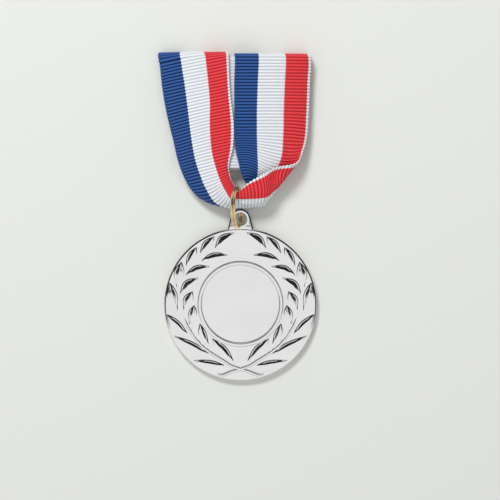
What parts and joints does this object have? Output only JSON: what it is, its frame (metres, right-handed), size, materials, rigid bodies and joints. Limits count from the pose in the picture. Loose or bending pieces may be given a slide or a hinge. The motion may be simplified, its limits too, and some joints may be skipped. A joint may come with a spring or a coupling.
{
  "type": "award medal",
  "caption": "Round silver-coloured award medal with a laurel wreath and a plain centre, on a split ring and a striped blue, white and red neck ribbon, lying flat.",
  "frame": {"origin": "on the disc's axis at its flat reverse face, where the medal lies on the surface", "axes": "+Z out of the obverse, away from the surface; +Y from the disc's centre towards the suspension lug and the ribbon; +X to the right of someone who looks at the obverse with the lug up"},
  "size_m": [0.0516, 0.1073, 0.0138],
  "materials": {
    "plated_metal": "bright silver plating over cast metal, polished",
    "ring_metal": "bright gold-coloured plating on round spring wire",
    "ribbon": "ribbed grosgrain ribbon woven in three stripes: blue, white and red",
    "thread": "white polyester sewing thread"
  },
  "bodies": {
    "medal": {"medal_disc": "plated_metal"},
    "ring": {"split_ring": "ring_metal"},
    "ribbon": {"neck_ribbon": "ribbon", "neck_stitches": "thread"}
  },
  "joints": [
    {"name": "ring_swing", "type": "hinge", "parent": "medal", "child": "ring", "pos_m": [0, 0.0277, 0.00195], "axis": [1, 0, 0], "range_deg": [-112, 0]},
    {"name": "ribbon_swing", "type": "hinge", "parent": "ring", "child": "ribbon", "pos_m": [0, 0.0343, 0.0063], "axis": [1, 0, 0], "range_deg": [-30, 60]}
  ]
}
